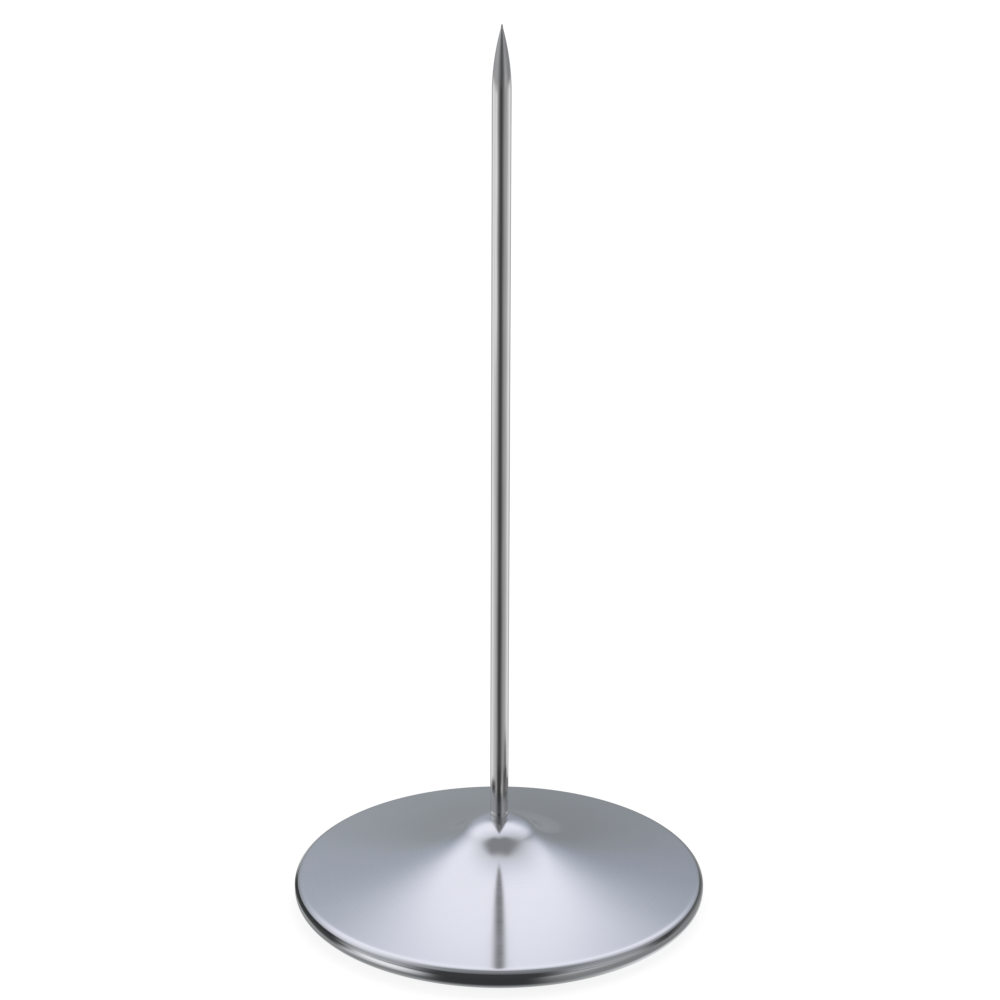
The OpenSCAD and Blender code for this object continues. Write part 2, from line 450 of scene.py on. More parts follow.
class SPIKE_OT_make_weight(Operator):
    """Makes the cast iron weight that fills the cover"""
    bl_idname = "receipt_spike.make_weight"
    bl_label = "Make Weight"

    def execute(self, context):
        inside, cover = context.scene.spike_inside, context.scene.spike_cover
        bell = Bell(cover, context.scene.spike_shaft)
        edge = inside.weight_edge
        outer_r, foot_z = WEIGHT_HIGH.x, WEIGHT_LOW.z
        pocket_r, pocket_z = inside.pocket_d / 2, foot_z + inside.pocket_h
        flare = bell.flare(cover.sheet_t + inside.weight_gap, outer_r, rows=80)
        flare = flare[flare[:, 0] < outer_r - edge]
        under = rounded(
            [(outer_r, flare[-1, 1] - edge / 4), (outer_r, foot_z), (pocket_r, foot_z),
             (pocket_r, pocket_z), (inside.clear_d / 2, pocket_z)],
            [edge / 2, edge, edge / 2, edge / 3, edge / 6])
        crown = bell.crown(cover.sheet_t, rows=20)
        section = np.concatenate([crown, flare, under,
                                  [(inside.clear_d / 2, WEIGHT_HIGH.z)]])
        # The skin of the casting only sinks: a sum of waves round and across the section
        angle = column_angles(WEIGHT_COLUMNS)
        row = np.arange(len(section))[:, None]
        waves = sum(np.sin(count * angle + phase * row) for count, phase in CAST_WAVES)
        wave = waves / (2 * len(CAST_WAVES)) + 0.5
        is_skin = ((section[:, 0] > pocket_r + edge) & (section[:, 0] < outer_r - edge / 2)
                   & (section[:, 1] > foot_z + edge))[:, None]
        height = section[:, 1:] - inside.cast_relief * wave * is_skin
        mesh = turned_mesh("weight", np.repeat(section[:, :1], len(angle), 1), height, loop=True)
        add_piece("cast_weight", mesh, cast_iron(context), "iron_weight", "base_weight")
        return {"FINISHED"}


# Rounding of a stamped washer's edges: its top's bore and rim, and its underside's rim and bore.
# It is rounded where the punch went in, and sharp where it came out
WASHER_EDGES = (0.12 * MM, 0.2 * MM, 0.03 * MM, 0.03 * MM)
WASHER_COLUMNS = 96
NUT_CHAMFER = 30


def nut_mesh(shaft, inside, columns=96):
    """The nut: at each angle its side lies at flats / 2 / cos(angle from the flat's middle).

    Both faces are chamfered by a cone of NUT_CHAMFER degrees that starts at the face's
    diameter. The bore carries the stud's own thread, moved out by the thread gap and opened at
    its mouths.
    """
    angle = column_angles(columns)
    side = inside.nut_flats / 2 / np.cos(angle % (np.pi / 3) - np.pi / 6)
    face_r, mouth = inside.nut_face_d / 2, inside.nut_mouth
    low, high = NUT_LOW.z, NUT_HIGH.z
    fall = (side - face_r) * math.tan(math.radians(NUT_CHAMFER))
    bore_z = np.linspace(low, high, 60)[:, None]
    thread = thread_radius(shaft, bore_z, angle) + inside.thread_gap
    from_face = np.minimum(bore_z - low, high - bore_z)
    bore = np.maximum(thread, shaft.stud_d / 2 + mouth - from_face)
    full = np.ones_like(angle)
    radius = np.vstack([face_r * full, side, side, face_r * full, bore])
    height = np.vstack([high * full, high - fall, low + fall, low * full, bore_z * full])
    return turned_mesh("nut", radius, height, loop=True)


def split_ring_mesh(inner_r, outer_r, low, high, slit, tilt, rows=72):
    """A split ring: a rounded section swept from one face of the slit round to the other.

    At each point of the section the slit's faces lie at y = (half the slit -/+ height above
    the middle * sin(tilt)) / cos(tilt), and the sweep's angle runs between their arc sines.
    """
    edge = 0.1 * (high - low)
    section = rounded([(inner_r, high), (outer_r, high), (outer_r, low), (inner_r, low)],
                      [edge] * 4, rows=3)
    radius, height = section[:, 0], section[:, 1]
    lean = (height - (low + high) / 2) * math.sin(tilt)
    first = np.arcsin((slit / 2 - lean) / math.cos(tilt) / radius)
    last = 2 * np.pi + np.arcsin((-slit / 2 - lean) / math.cos(tilt) / radius)
    step = np.linspace(0, 1, rows + 1)[:, None]
    angle = first + (last - first) * step
    points = np.stack([radius * np.cos(angle), radius * np.sin(angle),
                       height + 0 * angle], -1)
    count = len(section)
    ring = np.arange((rows + 1) * count).reshape(rows + 1, count)
    here, there = ring[:-1], ring[1:]
    quads = np.stack([here, np.roll(here, -1, 1), np.roll(there, -1, 1), there], -1)
    caps = [ring[0][::-1].tolist(), ring[-1].tolist()]
    return mesh_of("lock_washer", points.reshape(-1, 3), quads.reshape(-1, 4).tolist() + caps)


class SPIKE_OT_make_fastening(Operator):
    """Makes the nut and the two washers on the stud"""
    bl_idname = "receipt_spike.make_fastening"
    bl_label = "Make Fastening"

    def execute(self, context):
        shaft, inside = context.scene.spike_shaft, context.scene.spike_inside
        clear_r = inside.clear_d / 2
        low, high, outer_r = WASHER_LOW.z, WASHER_HIGH.z, WASHER_HIGH.x
        section = rounded([(clear_r, high), (outer_r, high), (outer_r, low), (clear_r, low)],
                          WASHER_EDGES)
        washer = revolved("washer", section, WASHER_COLUMNS, loop=True)
        zinc = zinc_plate(context)
        add_piece("plain_washer", washer, zinc, "zinc_hardware", "flat_washer")
        lock = split_ring_mesh(clear_r, LOCK_HIGH.y, LOCK_LOW.z, LOCK_HIGH.z,
                               inside.lock_slit, inside.slit_tilt)
        add_piece("spring_washer", lock, spring_steel(context), "spring_steel", "lock_washer")
        add_piece("nut", nut_mesh(shaft, inside), zinc, "zinc_hardware", "hex_nut")
        return {"FINISHED"}


def disc_piece(name, low, high, edge, columns=192):
    """A closed disc from one node's box, both its edges rounded."""
    radius = high.x
    section = joined(
        straight((0, high.z), (radius - edge, high.z), rows=8),
        arc((radius - edge, high.z - edge), edge, 90, 0, rows=5),
        straight((radius, high.z - edge), (radius, low.z + edge), rows=1),
        arc((radius - edge, low.z + edge), edge, 0, -90, rows=5),
        straight((radius - edge, low.z), (0, low.z), rows=8))
    return revolved(name, section, columns)


class SPIKE_OT_make_underside(Operator):
    """Makes the bottom plate and the rubber pad"""
    bl_idname = "receipt_spike.make_underside"
    bl_label = "Make Underside"

    def execute(self, context):
        inside = context.scene.spike_inside
        plate = disc_piece("plate", PLATE_LOW, PLATE_HIGH, inside.plate_edge)
        add_piece("closing_plate", plate, rolled_steel(context), "plate_steel", "bottom_plate")
        pad = disc_piece("pad", PAD_LOW, PAD_HIGH, inside.pad_edge)
        add_piece("rubber_pad", pad, matte_rubber(context), "pad_rubber", "anti_slip_pad")
        return {"FINISHED"}


# Nodes of materials

def add_node(tree, kind, **settings):
    """A node of one kind. A setting with a name that a socket has is that socket's value."""
    node = tree.nodes.new(kind)
    for key, value in settings.items():
        label = key.replace("_", " ").title()
        if label in node.inputs:
            node.inputs[label].default_value = value
        else:
            setattr(node, key, value)
    return node


def put(tree, socket, value):
    """Links a socket to an input, or sets the input to a value. None leaves it as it is."""
    if isinstance(value, bpy.types.NodeSocket):
        tree.links.new(value, socket)
    elif value is not None:
        socket.default_value = value


def math_node(tree, operation, first, second=None, third=None, clamp=False):
    """The output of a Math node whose inputs are sockets or numbers."""
    node = add_node(tree, "ShaderNodeMath", operation=operation, use_clamp=clamp)
    for socket, value in zip(node.inputs, (first, second, third)):
        put(tree, socket, value)
    return node.outputs[0]


def curve(tree, value, stops):
    """A smooth grey level along stops of (value, level)."""
    low, high = stops[0][0], stops[-1][0]
    place = math_node(tree, "DIVIDE", math_node(tree, "SUBTRACT", value, low), high - low)
    node = add_node(tree, "ShaderNodeValToRGB")
    node.color_ramp.interpolation = "B_SPLINE"
    elements = node.color_ramp.elements
    while len(elements) > 1:
        elements.remove(elements[-1])
    for index, (at, level) in enumerate(stops):
        element = elements[0] if index == 0 else elements.new((at - low) / (high - low))
        element.position = (at - low) / (high - low)
        element.color = (level, level, level, 1)
    tree.links.new(place, node.inputs[0])
    return node.outputs[0]


def between(tree, value, start, end):
    """Nothing at start, one at end, and a smooth step between them."""
    node = add_node(tree, "ShaderNodeMapRange", interpolation_type="SMOOTHSTEP")
    for label, number in (("Value", value), ("From Min", start), ("From Max", end)):
        put(tree, node.inputs[label], number)
    return node.outputs[0]


def apart(tree, first, second):
    """How far two values lie apart."""
    return math_node(tree, "ABSOLUTE", math_node(tree, "SUBTRACT", first, second))


def blended(tree, share_of, first, second):
    """first where share_of is nothing, second where it is one."""
    node = add_node(tree, "ShaderNodeMix", data_type="FLOAT")
    for index, value in ((0, share_of), (2, first), (3, second)):
        put(tree, node.inputs[index], value)
    return node.outputs[0]


def tinted(tree, share_of, first, second):
    """A colour between two, each a colour or a socket, and first where share_of is nothing."""
    node = add_node(tree, "ShaderNodeMix", data_type="RGBA")
    put(tree, node.inputs[0], share_of)
    for socket, tint in ((node.inputs[6], first), (node.inputs[7], second)):
        put(tree, socket, tint if isinstance(tint, bpy.types.NodeSocket) else (*tint, 1))
    return node.outputs[2]


def object_place(tree, stretch=(1, 1, 1)):
    """Object coordinates in millimetres, each axis multiplied by its stretch."""
    place = add_node(tree, "ShaderNodeTexCoord").outputs["Object"]
    size = add_node(tree, "ShaderNodeVectorMath", operation="MULTIPLY")
    tree.links.new(place, size.inputs[0])
    size.inputs[1].default_value = [value / MM for value in stretch]
    return size.outputs[0]


def axes_of(tree, place):
    """The three coordinates of a place."""
    parts = add_node(tree, "ShaderNodeSeparateXYZ")
    tree.links.new(place, parts.inputs[0])
    return parts.outputs


def noise(tree, place, scale, detail, rough=0.5):
    """A smooth random level round one half, at a place."""
    node = add_node(tree, "ShaderNodeTexNoise", scale=scale, detail=detail, roughness=rough)
    tree.links.new(place, node.inputs["Vector"])
    return node.outputs[0]


def ring_noise(tree, scale, detail):
    """A random level that depends on the distance from the axis only."""
    x, y, _ = axes_of(tree, object_place(tree))
    square = math_node(tree, "MULTIPLY_ADD", x, x, math_node(tree, "MULTIPLY", y, y))
    node = add_node(tree, "ShaderNodeTexNoise", noise_dimensions="1D", scale=scale,
                    detail=detail)
    tree.links.new(math_node(tree, "SQRT", square), node.inputs["W"])
    return node.outputs[0]


def empty_material(name):
    """A material without a shader, its tree, and the socket that its surface goes to."""
    material = bpy.data.materials.new(name)
    material.use_nodes = True
    tree = material.node_tree
    tree.nodes.clear()
    return material, tree, add_node(tree, "ShaderNodeOutputMaterial").inputs[0]


def new_material(name, metallic, tint):
    """A material with one Principled shader of a plain colour, and its tree and shader."""
    material, tree, surface = empty_material(name)
    shader = add_node(tree, "ShaderNodeBsdfPrincipled")
    shader.inputs["Metallic"].default_value = metallic
    shader.inputs["Base Color"].default_value = (*tint, 1)
    tree.links.new(shader.outputs[0], surface)
    return material, tree, shader


def bump(tree, shader, height, strength, depth_mm, under=None):
    """Bumps of a height from nothing to one, on top of those already there."""
    node = add_node(tree, "ShaderNodeBump", strength=strength, distance=depth_mm * MM)
    put(tree, node.inputs["Height"], height)
    put(tree, node.inputs["Normal"], under)
    tree.links.new(node.outputs[0], shader.inputs["Normal"])
    return node.outputs[0]


def shades(tint, dark, pale):
    """A colour made darker and paler by two factors."""
    return [channel * dark for channel in tint], [min(channel * pale, 1) for channel in tint]


def coat(tree, shader, patches, tints, grain, smooth, dull):
    """Colours a shader between two tints by patches, and roughens it from smooth to dull by
    grain. Both patterns run from nothing to one."""
    put(tree, shader.inputs["Base Color"], tinted(tree, patches, *tints))
    rough = math_node(tree, "MULTIPLY_ADD", grain, dull - smooth, smooth)
    put(tree, shader.inputs["Roughness"], rough)


# Materials of the pieces

def polished_steel(context):
    """Polished sheet: a soft mirror with fine spun rings and faint wipe marks."""
    finish = context.scene.spike_finish
    tint, rough = finish.cover_colour, finish.cover_rough
    material, tree, shader = new_material("polished_sheet", 1, tint)
    rings = ring_noise(tree, scale=2.2, detail=3)
    wipes = noise(tree, object_place(tree, (0.05, 0.11, 0.05)), scale=1, detail=3)
    grime = math_node(tree, "MULTIPLY_ADD", rings, 0.35, math_node(tree, "MULTIPLY", wipes, 0.65))
    level = between(tree, grime, 0.3, 0.7)
    coat(tree, shader, level, shades(tint, 0.985, 1.015), level, rough * 0.8, rough * 1.2)
    bump(tree, shader, rings, strength=0.05, depth_mm=0.01)
    return material


def ground_steel(context):
    """Ground rod: a mirror with lengthwise drawing lines and slight waves."""
    finish = context.scene.spike_finish
    tint, rough = finish.shaft_colour, finish.shaft_rough
    material, tree, shader = new_material("ground_rod", 1, tint)
    lines = noise(tree, object_place(tree, (6, 6, 0.12)), scale=1, detail=3)
    waves = noise(tree, object_place(tree, (0.35, 0.35, 0.045)), scale=1, detail=1)
    level = between(tree, lines, 0.3, 0.7)
    coat(tree, shader, level, shades(tint, 0.97, 1.03), level, rough * 0.8, rough * 1.25)
    under = bump(tree, shader, waves, strength=finish.shaft_waves, depth_mm=0.3)
    bump(tree, shader, lines, strength=0.06, depth_mm=0.02, under=under)
    return material


def cast_iron(context):
    """Raw casting: sandy skin with darker and rustier patches."""
    tint = context.scene.spike_finish.iron_colour
    material, tree, shader = new_material("raw_casting", 0.6, tint)
    patches = noise(tree, object_place(tree), scale=0.22, detail=4, rough=0.6)
    sand = noise(tree, object_place(tree), scale=2.6, detail=5, rough=0.7)
    dark, (red, green, blue) = shades(tint, 0.7, 1.35)
    rusty = (red, green * 0.97, blue * 0.92)
    coat(tree, shader, between(tree, patches, 0.35, 0.65), (dark, rusty), sand, 0.6, 0.9)
    bump(tree, shader, sand, strength=0.7, depth_mm=0.12)
    return material


def zinc_plate(context):
    """Zinc plating: pale, faintly mottled, with fine turning marks."""
    tint = context.scene.spike_finish.zinc_colour
    material, tree, shader = new_material("zinc_plating", 1, tint)
    mottle = noise(tree, object_place(tree), scale=1.4, detail=3)
    level = between(tree, mottle, 0.3, 0.7)
    coat(tree, shader, level, shades(tint, 0.88, 1.08), mottle, 0.24, 0.42)
    marks = ring_noise(tree, scale=9, detail=2)
    bump(tree, shader, marks, strength=0.2, depth_mm=0.02)
    return material


def spring_steel(context):
    """Spring steel: dark, with the marks of the drawn wire round the ring."""
    tint = context.scene.spike_finish.spring_colour
    material, tree, shader = new_material("spring_wire", 1, tint)
    marks = ring_noise(tree, scale=7, detail=3)
    level = between(tree, noise(tree, object_place(tree), scale=1.8, detail=3), 0.3, 0.7)
    coat(tree, shader, level, shades(tint, 0.75, 1.15), marks, 0.3, 0.5)
    bump(tree, shader, marks, strength=0.3, depth_mm=0.02)
    return material


def rolled_steel(context):
    """Rolled sheet: matte, with the mill's lines all one way and a few dull patches."""
    tint = context.scene.spike_finish.plate_colour
    material, tree, shader = new_material("rolled_sheet", 1, tint)
    lines = noise(tree, object_place(tree, (0.12, 4, 1)), scale=1, detail=4, rough=0.6)
    level = between(tree, noise(tree, object_place(tree), scale=0.12, detail=3), 0.35, 0.65)
    coat(tree, shader, level, shades(tint, 0.85, 1.08), lines, 0.32, 0.56)
    bump(tree, shader, lines, strength=0.15, depth_mm=0.03)
    return material


def matte_rubber(context):
    """Rubber: matte black with a fine moulded grain and a little dust."""
    tint = context.scene.spike_finish.rubber_colour
    material, tree, shader = new_material("moulded_rubber", 0, tint)
    grain = noise(tree, object_place(tree), scale=3.4, detail=3)
    dust = noise(tree, object_place(tree), scale=0.35, detail=4, rough=0.65)
    coat(tree, shader, between(tree, dust, 0.45, 0.8), shades(tint, 0.85, 1.7), grain, 0.68, 0.92)
    bump(tree, shader, grain, strength=0.5, depth_mm=0.06)
    return material


# Stage

# The tent and the mat glow but light nothing: they paint the reflections in the metal
# Changes round the tent and on the mat, each from where it starts to where it is complete.
# By azimuth in degrees, to either side:
SIDES = (80, 105)        # the tent's high painted reflection darkens low down
MAT_SIDES = (84, 100)    # the mat may take a painted grey shade close to the spike
BACK_HALF = (95, 135)    # the tent's painted reflection takes its tints of the back
CLOSE_BACK = (122, 142)  # the mat takes the tint of the tent's low painted reflection
FAR_BACK = (142, 156)    # the tent's low painted reflection is lifted
# By elevation in degrees:
LOW_REFLECTION = (26, 14)     # the painted reflection behind takes its tint of low down
# By distance from the spike in millimetres:
MAT_FAR = (1200, 3800)   # the mat turns into the tent's horizon
MAT_TINT = (460, 260)    # the mat behind takes the tint of the tent's low painted reflection
CLOSE_SHADE = (56, 50)     # the mat turns to a painted grey shade

# Level of the mat's painted grey shade close to the spike
CLOSE_SHADE_LEVEL = 0.34
STRIP_FADE = 16          # degrees over which a strip clears up at each end


def azimuth_of(tree, x, y):
    """Azimuth in degrees: 0 towards the camera, 180 behind it, and below 0 at the left."""
    towards = math_node(tree, "MULTIPLY", y, -1.0)
    return math_node(tree, "DEGREES", math_node(tree, "ARCTAN2", x, towards))


def directions(tree):
    """Three angles in degrees of a point seen from the origin: its elevation over the floor, its
    azimuth and its angle from the middle of the painted dark zone of the reflections, behind the
    camera."""
    look = bpy.context.scene.spike_stage
    unit = add_node(tree, "ShaderNodeVectorMath", operation="NORMALIZE")
    tree.links.new(add_node(tree, "ShaderNodeTexCoord").outputs["Object"], unit.inputs[0])
    x, y, z = axes_of(tree, unit.outputs[0])
    elevation = math_node(tree, "DEGREES", math_node(tree, "ARCSINE", z))
    azimuth = azimuth_of(tree, x, y)
    facing = add_node(tree, "ShaderNodeVectorMath", operation="DOT_PRODUCT")
    tree.links.new(unit.outputs[0], facing.inputs[0])
    facing.inputs[1].default_value = (math.sin(look.dark_zone_turn), -math.cos(look.dark_zone_turn), 0)
    from_dark_zone = math_node(tree, "DEGREES",
                          math_node(tree, "ARCCOSINE", facing.outputs["Value"]))
    return elevation, azimuth, from_dark_zone


def patched(tree, level, azimuth, other, patches):
    """A level with soft-edged patches laid over it, each a box in azimuth and one more value."""
    for middle, at, wide, tall, soft_side, soft_end, patch in patches:
        beside, along = apart(tree, azimuth, middle), apart(tree, other, at)
        inside = math_node(tree, "MULTIPLY",
                           between(tree, beside, wide + soft_side, wide - soft_side),
                           between(tree, along, tall + soft_end, tall - soft_end))
        level = blended(tree, inside, level, patch)
    return level


# Patches painted on the tent's glow, which the metal mirrors: middle azimuth and elevation, half
# the width and the height, softness of the sides and of the top and bottom, all in degrees, and
# the level
PAINTED_TENT_PATCHES = (
    (52, 0, 16, 10, 16, 16, 0.5),    # painted pale reflection at the right
    (4, 66, 64, 14, 24, 8, 0.27),    # painted grey reflection over the camera
)

# Low glowing strips that stand round the rim and that only the rim mirrors, painting dark and
# grey reflections in it: name, distance and height in millimetres, first and last azimuth, and
# the levels of the foot and the top
STRIPS = (
    ("black_strip", 43.5, 5.2, -108, -41, 0.06, 0.04),
    ("front_strip", 46, 7.5, -32, 25, 0.05, 0.05),
    ("dark_mark", 45.5, 6, 46, 72, 0.06, 0.05),
    ("grey_strip", 46, 7, 42, 114, 0.24, 0.09),
    ("side_strip", 46.5, 4.2, 98, 154, 0.3, 0.16),
)

# Patches painted on the mat's glow, each a painted highlight or a painted shade in the metal's
# reflections: middle azimuth in degrees and middle distance in millimetres, half the width and
# half the depth, softness of the sides and of the ends, and the level
PAINTED_MAT_PATCHES = (
    (-37, 45.8, 12, 2.6, 9, 1.2, 1.0),   # painted highlight at the front left of the rim
    (27, 49, 11, 4.5, 8, 1.5, 0.5),      # painted pale reflection at the front right
    (76, 61, 22, 16, 10, 8, 0.24),       # painted dark reflection at the right
    (57, 38, 38, 7, 16, 1.5, 0.26),      # painted grey reflection under both
    (-62, 38, 36, 3.8, 12, 1.4, 0.26),   # painted grey shade on the rim's foot at the left
    (-78, 44, 26, 1.8, 5, 0.8, 0.06),    # painted black shade at the left
    (-4, 50, 15, 10, 5, 2, 0.045),       # painted black shade at the front
    (0, 38, 180, 1.8, 1, 1.2, 0.45),     # painted pale reflection of the floor right at the rim
    (72, 38, 40, 2.9, 16, 1.2, 0.8),     # painted white reflection of the floor at its right
    (-66, 900, 14, 450, 14, 120, 0.95),  # painted highlight of a far lamp, which only the upper rod mirrors
)


def reflection_tent_level(tree, elevation, azimuth, from_dark_zone):
    """Level of the reflections painted by the tent's glow: pale above a grey low zone, and dark
    round the camera.

    The high painted level goes by the angle from the painted dark zone, and falls low down at the
    sides. The low painted level goes by azimuth, and is lifted behind. The low turns into the
    high over twice the softness, round a middle elevation that goes by azimuth too.
    """
    high = curve(tree, from_dark_zone, [
        (0, 0.2), (30, 0.19), (40, 0.18), (50, 0.19), (60, 0.25), (70, 0.37), (80, 0.56),
        (90, 0.74), (100, 0.86), (110, 0.97), (122, 1.03), (180, 1.06)])
    low = curve(tree, azimuth, [
        (-180, 0.34), (-152, 0.36), (-136, 0.34), (-120, 0.42), (-98, 0.44), (-84, 0.44),
        (-60, 0.44), (-45, 0.36), (-30, 0.24), (-12, 0.1), (8, 0.09), (24, 0.2), (40, 0.32),
        (60, 0.36), (82, 0.32), (120, 0.3), (146, 0.315), (160, 0.305), (172, 0.295),
        (180, 0.32)])
    middle = curve(tree, azimuth, [
        (-180, 0.38), (-156, 0.42), (-140, 0.31), (-120, 0.22), (-98, 0.22), (-84, 0.28),
        (-60, 0.4), (-40, 0.38), (0, 0.38), (40, 0.42), (60, 0.51), (74, 0.51), (84, 0.46),
        (96, 0.42), (108, 0.37), (120, 0.31), (132, 0.26), (144, 0.31), (158, 0.41),
        (180, 0.38)])
    soft = curve(tree, azimuth, [
        (-180, 0.09), (-156, 0.15), (-140, 0.26), (-120, 0.2), (-96, 0.2), (-84, 0.19),
        (-60, 0.13), (0, 0.13), (60, 0.09), (90, 0.08), (120, 0.11), (134, 0.16), (146, 0.3),
        (160, 0.14), (180, 0.09)])
    rise = curve(tree, elevation, [
        (0, 0.74), (22, 0.76), (34, 0.82), (44, 0.96), (52, 1.0), (90, 1.0)])
    lift = curve(tree, elevation, [
        (0, 0.48), (10, 0.51), (18, 0.59), (24, 0.66), (29, 0.65), (34, 0.57), (40, 0.51),
        (90, 0.5)])
    aside = math_node(tree, "ABSOLUTE", azimuth)
    rise = blended(tree, between(tree, aside, *SIDES), 1.0, rise)
    high = math_node(tree, "MULTIPLY", high, rise)
    # A ramp holds no level above one, so the lift is half of what it multiplies by
    lift = blended(tree, between(tree, aside, *FAR_BACK), 0.5, lift)
    low = math_node(tree, "MULTIPLY", low, math_node(tree, "MULTIPLY", lift, 2.0))
    # The grey zone's middle and softness are shares of the way from the floor to overhead
    start = math_node(tree, "MULTIPLY", math_node(tree, "SUBTRACT", middle, soft), 90)
    end = math_node(tree, "MULTIPLY", math_node(tree, "ADD", middle, soft), 90)
    level = blended(tree, between(tree, elevation, start, end), low, high)
    return patched(tree, level, azimuth, elevation, PAINTED_TENT_PATCHES)


def reflection_mat_level(tree, azimuth):
    """Distance in millimetres from the spike, and the level of the reflection that the mat paints
    there, with its painted patches.
    """
    flat = add_node(tree, "ShaderNodeVectorMath", operation="LENGTH")
    tree.links.new(object_place(tree, (1, 1, 0)), flat.inputs[0])
    away = flat.outputs["Value"]
    level = curve(tree, azimuth, [
        (-180, 0.32), (-150, 0.34), (-134, 0.5), (-122, 0.95), (-104, 0.95), (-84, 0.76),
        (-66, 0.6), (-50, 0.52), (-36, 0.36), (-22, 0.12), (-6, 0.05), (8, 0.08), (20, 0.18),
        (34, 0.34), (50, 0.42), (66, 0.46), (82, 0.64), (98, 0.9), (110, 0.95), (122, 0.95),
        (134, 0.5), (150, 0.34), (180, 0.32)])
    # Beside and behind the spike the mat takes a painted grey shade close by
    aside = math_node(tree, "ABSOLUTE", azimuth)
    close = math_node(tree, "MULTIPLY", between(tree, aside, *MAT_SIDES),
                      between(tree, away, *CLOSE_SHADE))
    level = blended(tree, close, level, CLOSE_SHADE_LEVEL)
    return away, patched(tree, level, azimuth, away, PAINTED_MAT_PATCHES)


def glowing(name, level_of):
    """A material that shines at a level in a tint, is clear where a third value is one, and
    keeps out of the lamp sampling."""
    material, tree, surface = empty_material(name)
    glow = add_node(tree, "ShaderNodeEmission")
    level, tint, clear = level_of(tree)
    put(tree, glow.inputs["Strength"], level)
    put(tree, glow.inputs["Color"], tint)
    shown = add_node(tree, "ShaderNodeMixShader")
    put(tree, shown.inputs[0], clear)
    tree.links.new(glow.outputs[0], shown.inputs[1])
    tree.links.new(add_node(tree, "ShaderNodeBsdfTransparent").outputs[0], shown.inputs[2])
    tree.links.new(shown.outputs[0], surface)
    material.cycles.emission_sampling = "NONE"
    return material


def painted_reflection_tent(context):
    """The tent's glow, which lights nothing and paints the metal's reflections: a little blue,
    more so where it is dark behind, and least so low down there."""
    look = context.scene.spike_stage

    def level_of(tree):
        elevation, azimuth, from_dark_zone = directions(tree)
        level = reflection_tent_level(tree, elevation, azimuth, from_dark_zone)
        behind = between(tree, math_node(tree, "ABSOLUTE", azimuth), *BACK_HALF)
        dark = tinted(tree, behind, look.front_reflection_tint, look.dark_reflection_tint)
        upper = tinted(tree, level, dark, look.pale_reflection_tint)
        low = math_node(tree, "MULTIPLY", between(tree, elevation, *LOW_REFLECTION), behind)
        return level, tinted(tree, low, upper, look.low_reflection_tint), 0.0

    return glowing("tent_cloth", level_of)


def painted_reflection_mat(context):
    """The glowing mat on the floor, which paints the floor's reflection in the metal and far off
    takes the tent's level at the horizon.
    """
    look = context.scene.spike_stage

    def level_of(tree):
        elevation, azimuth, from_dark_zone = directions(tree)
        away, local = reflection_mat_level(tree, azimuth)
        cloth = reflection_tent_level(tree, elevation, azimuth, from_dark_zone)
        level = blended(tree, between(tree, away, *MAT_FAR), local, cloth)
        # Close behind the spike the mat has the tint of the tent's low painted reflection
        behind = between(tree, math_node(tree, "ABSOLUTE", azimuth), *CLOSE_BACK)
        behind = math_node(tree, "MULTIPLY", between(tree, away, *MAT_TINT), behind)
        return level, tinted(tree, behind, (1, 1, 1), look.low_reflection_tint), 0.0

    return glowing("mat_cloth", level_of)


def painted_reflection_strip(name, height_mm, start, end, foot, top):
    """Glow of a low strip round the rim, with the levels of its foot and its top, which paints a
    dark or grey reflection in the rim. It clears up towards its two ends."""
    middle, half = (start + end) / 2, (end - start) / 2

    def level_of(tree):
        x, y, z = axes_of(tree, object_place(tree))
        aside = apart(tree, azimuth_of(tree, x, y), middle)
        level = blended(tree, between(tree, z, 0, height_mm), foot, top)
        return level, None, between(tree, aside, half - STRIP_FADE, half)

    return glowing(name, level_of)


def seen_directly(tree):
    """One for rays from the camera, a mirror or glass, and nothing for the rest."""
    path = add_node(tree, "ShaderNodeLightPath")
    total = math_node(tree, "ADD", path.outputs["Is Camera Ray"], path.outputs["Is Glossy Ray"])
    return math_node(tree, "ADD", total, path.outputs["Is Transmission Ray"], clamp=True)


def white_paper(context):
    """Floor paper that keeps the object's shadow and looks white where light falls on it."""
    look = context.scene.spike_stage
    material, tree, surface = empty_material("floor_paper")
    paper = add_node(tree, "ShaderNodeBsdfDiffuse")
    paper.inputs["Color"].default_value = (*look.floor_colour, 1)
    lift = add_node(tree, "ShaderNodeEmission")
    put(tree, lift.inputs["Strength"],
        math_node(tree, "MULTIPLY", seen_directly(tree), look.floor_lift))
    both = add_node(tree, "ShaderNodeAddShader")
    tree.links.new(paper.outputs[0], both.inputs[0])
    tree.links.new(lift.outputs[0], both.inputs[1])
    tree.links.new(both.outputs[0], surface)
    material.cycles.emission_sampling = "NONE"
    return material


def white_world(context):
    """A world that is white to look at and lights the object at the ambient level."""
    look = context.scene.spike_stage
    world = bpy.data.worlds.new("studio")
    context.scene.world = world
    world.use_nodes = True
    tree = world.node_tree
    tree.nodes.clear()
    output = add_node(tree, "ShaderNodeOutputWorld")
    sky = add_node(tree, "ShaderNodeBackground")
    sky.inputs["Color"].default_value = (1, 1, 1, 1)
    put(tree, sky.inputs["Strength"],
        blended(tree, seen_directly(tree), look.ambient, 1.0))
    tree.links.new(sky.outputs[0], output.inputs[0])


def stage_object(name, mesh, material, mirrored_only=False):
    """A floor, or a glowing shape that paints reflections. One that is mirrored only shows in the
    metal and casts nothing.
    """
    thing = bpy.data.objects.new(name, mesh)
    bpy.context.scene.collection.objects.link(thing)
    mesh.materials.append(material)
    if mirrored_only:
        thing.visible_camera = thing.visible_diffuse = thing.visible_shadow = False
        thing.visible_transmission = thing.visible_volume_scatter = False


